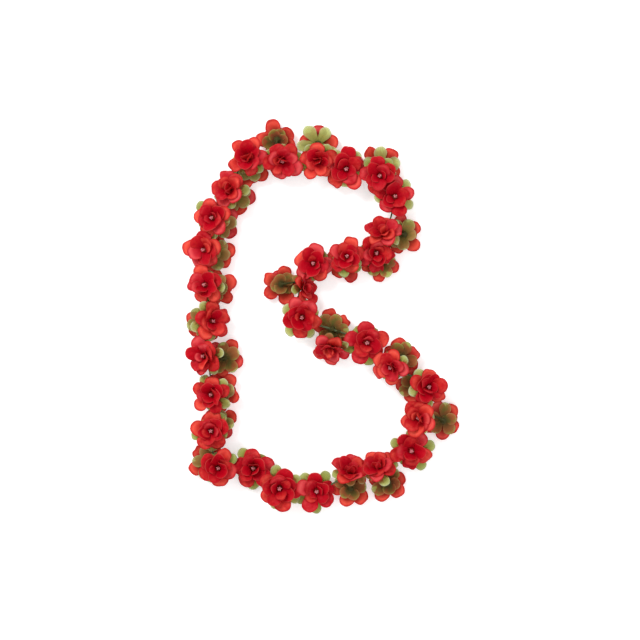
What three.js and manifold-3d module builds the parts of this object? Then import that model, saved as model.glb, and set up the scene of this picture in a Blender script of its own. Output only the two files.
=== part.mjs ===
// A flower lei: red double blossoms with green calyxes, threaded and tied on one green cord that is
// knotted into a loop. It lies on a flat surface, pinched in on one side.
// Millimetres, +Z up. The origin is under the middle of the lei, on the surface that it lies on.
import * as THREE from "three";
import { mergeVertices } from "three/addons/utils/BufferGeometryUtils.js";
import Module from "manifold-3d";

const wasm = await Module();
wasm.setup();

// ---------------------------------------------------------------- driving dimensions

// One blossom, measured from its axis and from the plane of its calyx.
const LOBES = 5;
const FACETS = 15; // round the axis, three to a lobe
const PETAL_REACH = 18.5;
const PETAL_RISE = 9.5;
const PETAL_NOTCH = 0.28; // share of the reach that the notch between two petals takes away
const INNER_REACH = 13;
const INNER_RISE = 12;
const SEPAL_REACH = 21;
const SEPAL_RISE = 1.4;
const SEPAL_NOTCH = 0.75;
const THROAT_RADIUS = 3.5; // where the petals spring from the calyx
const THROAT_DEPTH = 2.6;
const HUB_RADIUS = 2.7;
const HUB_LENGTH = 5.6; // pedicel of a threaded blossom, down to where it was picked
const TIED_HUB_LENGTH = 3; // the same on a blossom that hangs from a stalk
const STALK_RADIUS = 1.1;
const STALK_SIDES = 5;
const TIE_RADIUS = 2.3; // the turn of the stalk round the cord

// The cord.
const CORD_RADIUS = 0.9;
const CORD_SIDES = 6;
const CORD_STEPS = 84;
const CORD_DEPTH = 3.2; // the needle goes through a pedicel this far below the calyx
const KNOT_RADIUS = 2.2;
const KNOT_TAIL = 7;
const TIE_SPACING = 7; // least distance between a tie and a threaded pedicel

const GAP = 0.35; // clearance between two pieces that touch
const NEAR = 2 * SEPAL_REACH + 2; // blossoms farther apart than this can't touch

// Places are in millimetres on a plan with x to the right and y down the page.
// PLAN_CENTRE is the middle of the lei's outline on that plan.
const PLAN_CENTRE = { x: 323.8, y: 316.55 };

// The blossoms, in their order along the cord from the knot round to the knot again.
// held: "cord" where the needle goes through the pedicel, "stalk" where a stalk ties it to the cord
// x, y: the middle of the calyx on the plan; rise: its height over the surface
// lean: how far the face turns from straight up, in degrees (180 is face down)
// toward: the compass way that it leans, in degrees, 0 to the right of the plan and 90 up the page
// spin: the compass way that one outer petal points; size: a scale on the whole blossom
const BLOSSOMS = [
  { held: "cord", x: 217.5, y: 468, rise: 15.5, lean: 8, toward: 0, spin: 65, size: 0.98 },
  { held: "stalk", x: 208, y: 464, rise: 10, lean: 174, toward: 180, spin: 132, size: 0.95 },
  { held: "cord", x: 212, y: 431, rise: 15, lean: 8, toward: 170, spin: 87, size: 1 },
  { held: "stalk", x: 218, y: 425, rise: 10, lean: 174, toward: 0, spin: 28, size: 0.9 },
  { held: "cord", x: 212, y: 394.5, rise: 16, lean: 10, toward: 180, spin: 79, size: 0.97 },
  { held: "stalk", x: 219, y: 392, rise: 11, lean: 162, toward: 0, spin: -17, size: 1 },
  { held: "cord", x: 206, y: 356, rise: 15, lean: 28, toward: 185, spin: 121, size: 0.98 },
  { held: "stalk", x: 224, y: 358, rise: 10, lean: 174, toward: 0, spin: 59, size: 0.95 },
  { held: "cord", x: 210.5, y: 321, rise: 16, lean: 28, toward: 0, spin: 88, size: 1 },
  { held: "stalk", x: 203, y: 322, rise: 10, lean: 174, toward: 180, spin: 158, size: 0.92 },
  { held: "cord", x: 206, y: 285, rise: 15.5, lean: 14, toward: 175, spin: 101, size: 0.98 },
  { held: "stalk", x: 215, y: 287, rise: 11, lean: 164, toward: 0, spin: 30, size: 0.96 },
  { held: "cord", x: 205, y: 250, rise: 15, lean: 18, toward: 180, spin: 93, size: 0.98 },
  { held: "stalk", x: 214, y: 253, rise: 10.2, lean: 172, toward: 0, spin: 20, size: 0.95 },
  { held: "cord", x: 213, y: 218, rise: 16.5, lean: 10, toward: 190, spin: 94, size: 0.98 },
  { held: "stalk", x: 219, y: 222, rise: 10, lean: 173, toward: 0, spin: 30, size: 0.98 },
  { held: "cord", x: 229, y: 189.5, rise: 15.5, lean: 10, toward: 140, spin: 103, size: 0.96 },
  { held: "stalk", x: 235, y: 195, rise: 9.8, lean: 174, toward: 0, spin: -4, size: 0.93 },
  { held: "cord", x: 248, y: 157.5, rise: 16.5, lean: 6, toward: 120, spin: 66, size: 0.98 },
  { held: "stalk", x: 249, y: 168, rise: 10, lean: 174, toward: -60, spin: 331, size: 0.97 },
  { held: "stalk", x: 277, y: 139, rise: 10.2, lean: 172, toward: 90, spin: 105, size: 0.98 },
  { held: "cord", x: 282, y: 160.5, rise: 15, lean: 14, toward: -80, spin: 47, size: 0.95 },
  { held: "stalk", x: 318, y: 143, rise: 10, lean: 170, toward: 270, spin: 84, size: 1 },
  { held: "cord", x: 318, y: 161, rise: 16, lean: 12, toward: -80, spin: 90, size: 0.93 },
  { held: "cord", x: 346, y: 168.5, rise: 11, lean: 6, toward: -60, spin: 90, size: 1.06 },
  { held: "stalk", x: 381, y: 165, rise: 10, lean: 174, toward: 90, spin: 54, size: 0.98 },
  { held: "cord", x: 380, y: 175.5, rise: 16, lean: 8, toward: -120, spin: 98, size: 0.96 },
  { held: "cord", x: 394.5, y: 196.5, rise: 11, lean: 8, toward: 20, spin: 79, size: 1 },
  { held: "stalk", x: 404.5, y: 234, rise: 10, lean: 174, toward: 0, spin: 30, size: 0.97 },
  { held: "cord", x: 384, y: 233.5, rise: 16.5, lean: 32, toward: 105, spin: 87, size: 0.92 },
  { held: "cord", x: 376, y: 252, rise: 11.5, lean: 12, toward: -60, spin: -19, size: 0.98 },
  { held: "stalk", x: 381, y: 262, rise: 9.8, lean: 174, toward: -60, spin: 267, size: 0.95 },
  { held: "stalk", x: 346, y: 261, rise: 9.8, lean: 174, toward: -90, spin: 229, size: 0.92 },
  { held: "cord", x: 347, y: 257, rise: 16, lean: 6, toward: 90, spin: 80, size: 0.93 },
  { held: "cord", x: 314, y: 264, rise: 11.5, lean: 8, toward: 150, spin: 82, size: 1 },
  { held: "cord", x: 302, y: 288, rise: 12.5, lean: 55, toward: 0, spin: 80, size: 0.85 },
  { held: "stalk", x: 281, y: 284, rise: 10, lean: 174, toward: 180, spin: 80, size: 0.96 },
  { held: "cord", x: 302, y: 317, rise: 15.5, lean: 6, toward: -90, spin: 119, size: 1.05 },
  { held: "cord", x: 332, y: 329, rise: 10, lean: 174, toward: 60, spin: 101, size: 0.98 },
  { held: "stalk", x: 331, y: 347, rise: 12.5, lean: 45, toward: 255, spin: 270, size: 0.95 },
  { held: "cord", x: 366.5, y: 342, rise: 15.5, lean: 8, toward: -60, spin: 95, size: 1.07 },
  { held: "stalk", x: 402, y: 357, rise: 10, lean: 174, toward: 30, spin: 95, size: 0.95 },
  { held: "cord", x: 391, y: 367, rise: 16.5, lean: 14, toward: 215, spin: 65, size: 0.93 },
  { held: "stalk", x: 416, y: 386, rise: 9.8, lean: 176, toward: 180, spin: 180, size: 0.93 },
  { held: "cord", x: 428, y: 387, rise: 15, lean: 8, toward: 0, spin: 86, size: 1 },
  { held: "stalk", x: 444, y: 421, rise: 10.2, lean: 172, toward: 180, spin: 50, size: 0.97 },
  { held: "cord", x: 419, y: 418, rise: 16, lean: 12, toward: 180, spin: 118, size: 0.95 },
  { held: "cord", x: 411.5, y: 450.5, rise: 11, lean: 6, toward: -90, spin: 50, size: 1.07 },
  { held: "stalk", x: 388, y: 484, rise: 10.2, lean: 172, toward: -60, spin: 27, size: 0.97 },
  { held: "cord", x: 378, y: 468, rise: 14.5, lean: 34, toward: 100, spin: 48, size: 0.96 },
  { held: "stalk", x: 350.5, y: 489, rise: 10, lean: 174, toward: -90, spin: -30, size: 0.95 },
  { held: "cord", x: 351, y: 473, rise: 14.5, lean: 36, toward: 90, spin: 84, size: 0.95 },
  { held: "cord", x: 316, y: 492, rise: 8, lean: 5, toward: 0, spin: 95, size: 1.02 },
  { held: "cord", x: 279.5, y: 488, rise: 11.5, lean: 6, toward: -90, spin: 70, size: 1.1 },
  { held: "cord", x: 253, y: 469.5, rise: 5.2, lean: 4, toward: 90, spin: 93, size: 1.06 },
];

// ---------------------------------------------------------------- materials

const redPetals = new THREE.MeshStandardMaterial({ color: 0xb8101c, roughness: 0.6, metalness: 0 });
const greenCord = new THREE.MeshStandardMaterial({ color: 0x3f5a24, roughness: 0.7, metalness: 0 });

// ---------------------------------------------------------------- solids

// A closed three.js geometry as a solid that can be joined and cut.
function solidOf(geometry) {
  const bare = geometry.index ? geometry.toNonIndexed() : geometry.clone();
  bare.deleteAttribute("normal");
  bare.deleteAttribute("uv");
  const merged = mergeVertices(bare, 1e-4);
  return new wasm.Manifold(
    new wasm.Mesh({
      numProp: 3,
      vertProperties: merged.attributes.position.array,
      triVerts: new Uint32Array(merged.index.array),
    }),
  );
}

// A solid as a three.js geometry.
function geometryOf(solid) {
  const mesh = solid.getMesh();
  const points = new Float32Array(mesh.numVert * 3);
  for (let i = 0; i < mesh.numVert; i++) {
    const start = i * mesh.numProp;
    points.set(mesh.vertProperties.subarray(start, start + 3), i * 3);
  }
  const geometry = new THREE.BufferGeometry();
  geometry.setAttribute("position", new THREE.BufferAttribute(points, 3));
  geometry.setIndex(new THREE.BufferAttribute(mesh.triVerts, 1));
  return geometry;
}

// The biggest of a solid's separate bodies.
function largestBody(solid) {
  const bodies = solid.decompose();
  return bodies.reduce((best, body) => (body.volume() > best.volume() ? body : best));
}

// ---------------------------------------------------------------- one blossom, in its own frame

const ROUND = { notch: 0, phase: 0 };
const PETALS = { notch: PETAL_NOTCH, phase: 0 };
const INNER_PETALS = { notch: PETAL_NOTCH, phase: Math.PI / LOBES };
const SEPALS = { notch: SEPAL_NOTCH, phase: Math.PI / LOBES };

// A turned solid whose rings can be lobed. Each ring is [radius, height, lobing], from the bottom of
// the axis outwards and back to the top of it. phase is the way that the ring's first lobe points.
function lobedLathe(rings) {
  const points = rings.map(([radius, height]) => new THREE.Vector2(radius, height));
  const geometry = new THREE.LatheGeometry(points, FACETS);
  geometry.rotateX(Math.PI / 2);
  const lobeAngle = (2 * Math.PI) / LOBES;
  const facetAngle = (2 * Math.PI) / FACETS;
  const position = geometry.attributes.position;
  for (let i = 0; i < position.count; i++) {
    const radius = Math.hypot(position.getX(i), position.getY(i));
    const facet = Math.round(Math.atan2(position.getY(i), position.getX(i)) / facetAngle);
    const angle = (facet - 0.5) * facetAngle;
    const { notch, phase } = rings[i % rings.length][2];
    const lobe = Math.round((angle - phase) / lobeAngle);
    const fromTip = Math.abs(angle - phase - lobe * lobeAngle) / (lobeAngle / 2);
    const kept = radius * (1 - notch * fromTip ** 2.6);
    position.setX(i, kept * Math.cos(angle));
    position.setY(i, kept * Math.sin(angle));
  }
  return geometry;
}

// The blossom itself: pedicel, calyx, outer petals and inner petals, grown as one.
// tipRadius is that of the pedicel's end, which is pointed where a stalk carries on from it.
function blossomForm(hubLength, tipRadius) {
  const tip = tipRadius > 0 ? [[tipRadius, -hubLength, ROUND]] : [];
  return lobedLathe([
    [0, -hubLength, ROUND],
    ...tip,
    [HUB_RADIUS, -0.5, ROUND],
    [SEPAL_REACH, SEPAL_RISE, SEPALS],
    [THROAT_RADIUS, 0.9, ROUND],
    [PETAL_REACH, PETAL_RISE, PETALS],
    [THROAT_RADIUS, 2.2, ROUND],
    [INNER_REACH, INNER_RISE, INNER_PETALS],
    [0, THROAT_DEPTH, ROUND],
  ]);
}

// The room that its neighbours leave it: a skin over the blossom, closed over its cup.
function blossomRoom(hubLength, tipRadius) {
  return lobedLathe([
    [0, -hubLength - GAP, ROUND],
    [tipRadius + GAP, -hubLength - GAP, ROUND],
    [HUB_RADIUS + GAP, -0.5 - GAP, ROUND],
    [SEPAL_REACH + 2 * GAP, SEPAL_RISE - GAP, SEPALS],
    [PETAL_REACH + GAP, PETAL_RISE + GAP, PETALS],
    [INNER_REACH + GAP, INNER_RISE + GAP, INNER_PETALS],
    [0, INNER_RISE + GAP, ROUND],
  ]);
}

const pedicels = {
  cord: { length: HUB_LENGTH, tipRadius: HUB_RADIUS * 0.85 },
  stalk: { length: TIED_HUB_LENGTH, tipRadius: 0 },
};

// ---------------------------------------------------------------- where each blossom is

function compass(degrees) {
  const angle = THREE.MathUtils.degToRad(degrees);
  return new THREE.Vector3(Math.cos(angle), Math.sin(angle), 0);
}

function facing(blossom) {
  const lean = THREE.MathUtils.degToRad(blossom.lean);
  const axis = compass(blossom.toward).multiplyScalar(Math.sin(lean));
  axis.z = Math.cos(lean);
  return axis;
}

function middle(blossom) {
  return new THREE.Vector3(blossom.x - PLAN_CENTRE.x, PLAN_CENTRE.y - blossom.y, blossom.rise);
}

// The matrix that carries a blossom from its own frame to its place on the lei.
function poseOf(blossom) {
  const axis = facing(blossom);
  const petalWay = compass(blossom.spin);
  petalWay.addScaledVector(axis, -petalWay.dot(axis)).normalize();
  const across = axis.clone().cross(petalWay);
  const pose = new THREE.Matrix4().makeBasis(petalWay, across, axis);
  pose.scale(new THREE.Vector3(blossom.size, blossom.size, blossom.size));
  return pose.setPosition(middle(blossom));
}

function alongAxis(blossom, distance) {
  return middle(blossom).addScaledVector(facing(blossom), distance * blossom.size);
}

// ---------------------------------------------------------------- the cord and its knot

const needleHoles = BLOSSOMS.filter((blossom) => blossom.held === "cord").map((blossom) =>
  alongAxis(blossom, -CORD_DEPTH),
);
const loop = new THREE.CatmullRomCurve3(needleHoles, true, "centripetal");

// The knot sits half way between the last blossom and the first.
const loopLength = loop.getLength();
const knotSpot = 1 - needleHoles[0].distanceTo(needleHoles.at(-1)) / 2 / loopLength;
const knotCentre = loop.getPointAt(knotSpot);

// The loop's length without the knot: the cord leaves one side of it and comes back to the other.
class CordRoute extends THREE.Curve {
  getPoint(t) {
    const skipped = (KNOT_RADIUS + GAP) / loopLength;
    const along = knotSpot + skipped + t * (1 - 2 * skipped);
    return loop.getPointAt(along % 1);
  }
}

function cordTube(radius) {
  const section = new THREE.Shape();
  for (let i = 0; i < CORD_SIDES; i++) {
    const angle = (2 * Math.PI * i) / CORD_SIDES;
    section[i ? "lineTo" : "moveTo"](radius * Math.cos(angle), radius * Math.sin(angle));
  }
  section.closePath();
  return new THREE.ExtrudeGeometry(section, {
    steps: CORD_STEPS,
    bevelEnabled: false,
    extrudePath: new CordRoute(),
  });
}

function knot(grow) {
  const ball = new THREE.IcosahedronGeometry(KNOT_RADIUS + grow, 1).translate(...knotCentre);
  let solid = solidOf(ball);
  for (const side of [-1, 1]) {
    const radius = CORD_RADIUS + grow;
    const tail = new THREE.CylinderGeometry(radius, radius, KNOT_TAIL + grow, CORD_SIDES);
    tail.translate(0, (KNOT_TAIL + grow) / 2, 0);
    tail.rotateZ(side * 0.5);
    tail.translate(...knotCentre);
    solid = solid.add(solidOf(tail));
  }
  return solid;
}

// ---------------------------------------------------------------- stalks that tie blossoms on

// The point of the cord where a stalk is tied: the nearest one that is clear of threaded pedicels.
function tiePoint(blossom) {
  const from = alongAxis(blossom, -TIED_HUB_LENGTH);
  const free = loop
    .getSpacedPoints(400)
    .filter((point) => needleHoles.every((hole) => hole.distanceTo(point) > TIE_SPACING));
  return free.reduce((best, p) => (p.distanceTo(from) < best.distanceTo(from) ? p : best));
}

function stalk(blossom) {
  const end = tiePoint(blossom);
  const start = alongAxis(blossom, -TIED_HUB_LENGTH * 0.6);
  const bend = alongAxis(blossom, -TIED_HUB_LENGTH * 1.6);
  const section = new THREE.Shape();
  for (let i = 0; i < STALK_SIDES; i++) {
    const angle = (2 * Math.PI * i) / STALK_SIDES;
    const x = STALK_RADIUS * Math.cos(angle);
    section[i ? "lineTo" : "moveTo"](x, STALK_RADIUS * Math.sin(angle));
  }
  section.closePath();
  const tube = new THREE.ExtrudeGeometry(section, {
    steps: 2,
    bevelEnabled: false,
    extrudePath: new THREE.QuadraticBezierCurve3(start, bend, end),
  });
  const tie = new THREE.IcosahedronGeometry(TIE_RADIUS, 0).translate(...end);
  return solidOf(tube).add(solidOf(tie));
}

// ---------------------------------------------------------------- the lei

const cordRoom = solidOf(cordTube(CORD_RADIUS + GAP));
const knotRoom = knot(GAP);

const lei = new THREE.Group();

// What would reach below the surface is pressed flat on it.
function pressedFlat(geometry) {
  const position = geometry.attributes.position;
  for (let i = 0; i < position.count; i++) {
    position.setZ(i, Math.max(0, position.getZ(i)));
  }
  return geometry;
}

function addPiece(name, geometry, material) {
  const mesh = new THREE.Mesh(geometry, material);
  mesh.name = name;
  lei.add(mesh);
}

// The highest blossoms are made first, and the ones that they lie on give way to them.
const makingOrder = [...BLOSSOMS].sort((a, b) => b.rise - a.rise);
const made = [];
for (const blossom of makingOrder) {
  const pose = poseOf(blossom);
  const { length, tipRadius } = pedicels[blossom.held];
  let solid = solidOf(pressedFlat(blossomForm(length, tipRadius).applyMatrix4(pose)));
  if (blossom.held === "stalk") solid = solid.add(stalk(blossom));
  solid = solid.subtract(cordRoom).subtract(knotRoom);
  for (const other of made) {
    if (other.middle.distanceTo(middle(blossom)) < NEAR) solid = solid.subtract(other.room);
  }
  const room = solidOf(blossomRoom(length, tipRadius).applyMatrix4(pose));
  made.push({ middle: middle(blossom), room });
  const number = String(BLOSSOMS.indexOf(blossom) + 1).padStart(2, "0");
  addPiece(`blossom_${number}`, geometryOf(largestBody(solid)), redPetals);
}
addPiece("cord", cordTube(CORD_RADIUS), greenCord);
addPiece("cord_knot", geometryOf(knot(0)), greenCord);

export default lei;
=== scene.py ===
"""The looks of a flower lei: red double blossoms with green calyxes, threaded and tied on one cord.

Each blossom is three pieces (petals, calyx with its pedicel, stamens) that stand where its CAD node
is. Shapes are worked out in millimetres and written to the meshes in metres, in the CAD's frame.
"""

import math

import bpy
import numpy as np
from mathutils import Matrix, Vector
from mathutils.bvhtree import BVHTree


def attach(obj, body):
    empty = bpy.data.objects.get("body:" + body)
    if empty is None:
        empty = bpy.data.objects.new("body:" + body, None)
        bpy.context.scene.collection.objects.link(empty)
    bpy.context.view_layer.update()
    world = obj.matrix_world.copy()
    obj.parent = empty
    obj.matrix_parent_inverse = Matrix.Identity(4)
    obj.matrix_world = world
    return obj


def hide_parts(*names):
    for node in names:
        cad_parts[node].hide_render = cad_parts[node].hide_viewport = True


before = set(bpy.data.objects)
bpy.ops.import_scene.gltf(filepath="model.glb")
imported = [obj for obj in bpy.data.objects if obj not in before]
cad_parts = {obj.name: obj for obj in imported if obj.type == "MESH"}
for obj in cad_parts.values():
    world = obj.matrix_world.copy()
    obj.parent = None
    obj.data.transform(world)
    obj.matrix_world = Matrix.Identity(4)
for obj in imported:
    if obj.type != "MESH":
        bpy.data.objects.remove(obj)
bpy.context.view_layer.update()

MM = 0.001
UP = np.array([0.0, 0.0, 1.0])

# ---------------------------------------------------------------- the lei's plan, as in the CAD

# Blossoms are placed by pixels of the photograph, and a pixel there is a millimetre on the lei.
PHOTO_MIDDLE = 320
PLAN_X, PLAN_Y = 323.8, 316.55  # the pixel over the middle of the lei
CORD_DEPTH = 3.2  # the cord goes through a pedicel this far below the calyx
CORD_RADIUS = 0.9
KNOT_TAIL = 7.0
HUB_LENGTH = 5.6  # the pedicel of a threaded blossom
TIED_HUB_LENGTH = 3.0
TIE_SPACING = 7.0  # a stalk is tied at least this far from a threaded pedicel

# How each blossom is held ("c": threaded on the cord, "s": tied to it by a stalk), its pixel x and y,
# the height of its calyx above the surface, how far it leans from upright, towards which direction,
# its spin about its axis, these three in degrees, and its size.
BLOSSOMS = [
    ("c", 217.5, 468, 15.5, 8, 0, 65, 0.98), ("s", 208, 464, 10, 174, 180, 132, 0.95),
    ("c", 212, 431, 15, 8, 170, 87, 1), ("s", 218, 425, 10, 174, 0, 28, 0.9),
    ("c", 212, 394.5, 16, 10, 180, 79, 0.97), ("s", 219, 392, 11, 162, 0, -17, 1),
    ("c", 206, 356, 15, 28, 185, 121, 0.98), ("s", 224, 358, 10, 174, 0, 59, 0.95),
    ("c", 210.5, 321, 16, 28, 0, 88, 1), ("s", 203, 322, 10, 174, 180, 158, 0.92),
    ("c", 206, 285, 15.5, 14, 175, 101, 0.98), ("s", 215, 287, 11, 164, 0, 30, 0.96),
    ("c", 205, 250, 15, 18, 180, 93, 0.98), ("s", 214, 253, 10.2, 172, 0, 20, 0.95),
    ("c", 213, 218, 16.5, 10, 190, 94, 0.98), ("s", 219, 222, 10, 173, 0, 30, 0.98),
    ("c", 229, 189.5, 15.5, 10, 140, 103, 0.96), ("s", 235, 195, 9.8, 174, 0, -4, 0.93),
    ("c", 248, 157.5, 16.5, 6, 120, 66, 0.98), ("s", 249, 168, 10, 174, -60, 331, 0.97),
    ("s", 277, 139, 10.2, 172, 90, 105, 0.98), ("c", 282, 160.5, 15, 14, -80, 47, 0.95),
    ("s", 318, 143, 10, 170, 270, 84, 1), ("c", 318, 161, 16, 12, -80, 90, 0.93),
    ("c", 346, 168.5, 11, 6, -60, 90, 1.06), ("s", 381, 165, 10, 174, 90, 54, 0.98),
    ("c", 380, 175.5, 16, 8, -120, 98, 0.96), ("c", 394.5, 196.5, 11, 8, 20, 79, 1),
    ("s", 404.5, 234, 10, 174, 0, 30, 0.97), ("c", 384, 233.5, 16.5, 32, 105, 87, 0.92),
    ("c", 376, 252, 11.5, 12, -60, -19, 0.98), ("s", 381, 262, 9.8, 174, -60, 267, 0.95),
    ("s", 346, 261, 9.8, 174, -90, 229, 0.92), ("c", 347, 257, 16, 6, 90, 80, 0.93),
    ("c", 314, 264, 11.5, 8, 150, 82, 1), ("c", 302, 288, 12.5, 55, 0, 80, 0.85),
    ("s", 281, 284, 10, 174, 180, 80, 0.96), ("c", 302, 317, 15.5, 6, -90, 119, 1.05),
    ("c", 332, 329, 10, 174, 60, 101, 0.98), ("s", 331, 347, 12.5, 45, 255, 270, 0.95),
    ("c", 366.5, 342, 15.5, 8, -60, 95, 1.07), ("s", 402, 357, 10, 174, 30, 95, 0.95),
    ("c", 391, 367, 16.5, 14, 215, 65, 0.93), ("s", 416, 386, 9.8, 176, 180, 180, 0.93),
    ("c", 428, 387, 15, 8, 0, 86, 1), ("s", 444, 421, 10.2, 172, 180, 50, 0.97),
    ("c", 419, 418, 16, 12, 180, 118, 0.95), ("c", 411.5, 450.5, 11, 6, -90, 50, 1.07),
    ("s", 388, 484, 10.2, 172, -60, 27, 0.97), ("c", 378, 468, 14.5, 34, 100, 48, 0.96),
    ("s", 350.5, 489, 10, 174, -90, -30, 0.95), ("c", 351, 473, 14.5, 36, 90, 84, 0.95),
    ("c", 316, 492, 8, 5, 0, 95, 1.02), ("c", 279.5, 488, 11.5, 6, -90, 70, 1.1),
    ("c", 253, 469.5, 5.2, 4, 90, 93, 1.06),
]
LOBES = 5
LOBE_STEP = 2 * math.pi / LOBES
STAMENS = 12
# How far the sepals reach from the axis, in millimetres, by blossom.
USUAL_REACH = 16.5
SEPAL_REACH = {2: 18, 4: 17, 6: 14, 8: 17.5, 10: 18.5, 12: 14.5, 14: 17, 16: 17, 18: 17.5, 20: 14.5,
               21: 15.5, 23: 21, 26: 19.5, 29: 18, 32: 18, 33: 18, 37: 14.8, 39: 17, 42: 17, 44: 18,
               46: 17.5, 49: 17.5, 51: 18}
# The sepals of upturned blossoms that reach out between the petals, numbered round the axis.
LONGER = 5.4
LONG_SEPALS = {1: (4,), 3: (1, 2, 4), 5: (0, 3, 4), 7: (2, 3, 4), 9: (0, 1, 2), 11: (2, 3), 13: (4,),
               15: (0, 2), 17: (2, 3, 4), 19: (3,), 22: (1, 4), 24: (0, 1, 4), 25: (0, 4), 27: (0, 4),
               28: (0, 1, 3, 4), 30: (4,), 31: (4,), 34: (2,), 36: (1,), 38: (0, 1, 2), 40: (1,),
               41: (1, 2), 43: (4,), 45: (0, 1, 2), 47: (4,), 48: (0, 1, 3, 4), 50: (3, 4), 52: (1,),
               53: (0, 1, 2, 4), 54: (0, 2, 3, 4), 55: (0, 2, 3)}
# The sepals of downturned blossoms that show their petals beyond a short tip.
SHORTER = 4.2
SHORT_SEPALS = {21: (0, 1, 4), 29: (0,), 37: (2, 3, 4), 46: (0,), 49: (0, 1), 51: (0, 1)}
# How far open and how light each blossom is, from 0, a deep red cup, to 1.
USUAL_OPENNESS = 0.6
OPENNESS = {1: 0.2, 3: 0.4, 5: 0.2, 7: 0.85, 9: 0.6, 11: 0.65, 13: 0.95, 15: 0.5, 17: 0.8, 19: 0.25,
            22: 0.75, 24: 0.85, 25: 0.4, 27: 0.25, 28: 0.5, 30: 0.95, 31: 0.55, 34: 0.5, 35: 0.6,
            36: 0.85, 38: 0.45, 40: 1.0, 41: 0.5, 43: 0.95, 45: 0.25, 47: 0.95, 48: 0.4, 50: 0.95,
            52: 0.95, 53: 0.35, 54: 0.25, 55: 0.1}
# Upturned blossoms with two petals folded over the heart.
FOLDED = (17, 19, 22, 24, 30, 36, 40, 43, 47, 50, 52)
# The calyxes that are paler than most, and how pale they are, from 0 to 1.
PALE_CALYX = {2: 0.4, 4: 0.35, 6: 0.45, 8: 0.15, 10: 0.4, 12: 0.35, 14: 0.4, 16: 0.35, 18: 0.5,
              20: 0.65, 23: 0.85, 25: 0.8, 26: 0.8, 28: 0.7, 29: 0.4, 30: 0.6, 38: 0.6, 45: 0.6,
              47: 0.7}


class Blossom:
    """Where one blossom is, and which way it faces."""

    # An open blossom's height, and the gap that is kept under one that lies on its face.
    FULL_HEIGHT, FACE_GAP = 12.4, 0.6

    def __init__(self, number, held, x, y, rise, lean, toward, spin, size):
        self.number, self.held, self.size = number, held, size
        self.middle = np.array([x - PLAN_X, PLAN_Y - y, rise])
        lean, toward, spin = (math.radians(a) for a in (lean, toward, spin))
        flat = math.sin(lean)
        self.axis = np.array([flat * math.cos(toward), flat * math.sin(toward), math.cos(lean)])
        way = np.array([math.cos(spin), math.sin(spin), 0.0])
        way -= way.dot(self.axis) * self.axis
        way /= np.linalg.norm(way)
        self.turn = np.column_stack([way, np.cross(self.axis, way), self.axis])
        # In the blossom's own frame, the side that its lean raises.
        self.raised_side = toward - spin + math.pi
        self.face_down = lean > math.pi / 2
        # A blossom that lies on its face has only this share of its height to open in.
        room = rise / size - self.FACE_GAP
        self.squash = min(1.0, room / self.FULL_HEIGHT) if self.face_down else 1.0

    def place(self, points):
        """Points of the blossom's own frame, on the lei."""
        return self.middle + (np.asarray(points) * self.size) @ self.turn.T

    def along(self, distance):
        """The point of its axis this far above the calyx."""
        return self.middle + self.axis * distance * self.size


lei = [Blossom(i + 1, *row) for i, row in enumerate(BLOSSOMS)]


def pressed(points, soft=1.1, least=0.2):
    """The points, with those lower than soft eased up, so that none is lower than least."""
    points = np.array(points, float)
    z = points[:, 2]
    room = soft - least
    low = z < soft
    points[low, 2] = least + room * np.exp((z[low] - soft) / room)
    return points


def trimmed(points, least=0.02):
    """The points of a finished body, none of them below the surface."""
    return pressed(points, 0.3, least)


# ---------------------------------------------------------------- the cord's route

ROUTE_STEP = 0.5
TIE_SPOTS = 400  # the places on the cord that a tie chooses from


def closed_route(points, per_span=60):
    """The closed centripetal Catmull-Rom curve through the points. It ends on its first point."""
    n = len(points)
    dense = []
    for i in range(n):
        p0, p1, p2, p3 = (points[(i + k) % n] for k in (-1, 0, 1, 2))
        d0, d1, d2 = (np.linalg.norm(b - a) ** 0.5 for a, b in ((p0, p1), (p1, p2), (p2, p3)))
        t1 = ((p1 - p0) / d0 - (p2 - p0) / (d0 + d1) + (p2 - p1) / d1) * d1
        t2 = ((p2 - p1) / d1 - (p3 - p1) / (d1 + d2) + (p3 - p2) / d2) * d1
        t = np.linspace(0, 1, per_span, endpoint=False)[:, None]
        c2 = -3 * p1 + 3 * p2 - 2 * t1 - t2
        c3 = 2 * p1 - 2 * p2 + t1 + t2
        dense.append(p1 + t1 * t + c2 * t**2 + c3 * t**3)
    dense = np.vstack(dense)
    return np.vstack([dense, dense[:1]])


def distances(path):
    """How far along the path each of its points is."""
    return np.concatenate([[0], np.cumsum(np.linalg.norm(np.diff(path, axis=0), axis=1))])


def resampled(path, count=None, step=None):
    """The path at even spacing, its ends kept."""
    lengths = distances(path)
    count = count or max(2, int(round(lengths[-1] / step)) + 1)
    at = np.linspace(0, lengths[-1], count)
    return np.column_stack([np.interp(at, lengths, path[:, k]) for k in range(3)])


def quadratic(start, bend, end, t):
    """Points of the curve from start to end that is drawn towards bend."""
    return start * (1 - t) ** 2 + bend * 2 * t * (1 - t) + end * t**2


holes = [b.along(-CORD_DEPTH) for b in lei if b.held == "c"]
loop = closed_route(holes)
loop_length = distances(loop)[-1]
loop_even = resampled(loop, step=ROUTE_STEP)
# The knot is halfway from the last hole to the first, and the cord starts and ends inside it.
knot_from_start = loop_length - np.linalg.norm(holes[0] - holes[-1]) / 2
knot_index = int(round(knot_from_start / loop_length * (len(loop_even) - 1)))
knot_centre = loop_even[knot_index]
cord_path = np.roll(loop_even[:-1], -knot_index, axis=0)[2:-2]


def tie_spot(blossom):
    """Where on the cord its stalk is tied, and which way the cord runs there."""
    spots = resampled(loop, TIE_SPOTS + 1)[:-1]
    near_hole = np.min([np.linalg.norm(spots - h, axis=1) for h in holes], axis=0)
    away = np.linalg.norm(spots - blossom.along(-TIED_HUB_LENGTH), axis=1)
    best = int(np.argmin(np.where(near_hole > TIE_SPACING, away, np.inf)))
    run = spots[(best + 1) % len(spots)] - spots[best - 1]
    return spots[best], run / np.linalg.norm(run)


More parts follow.
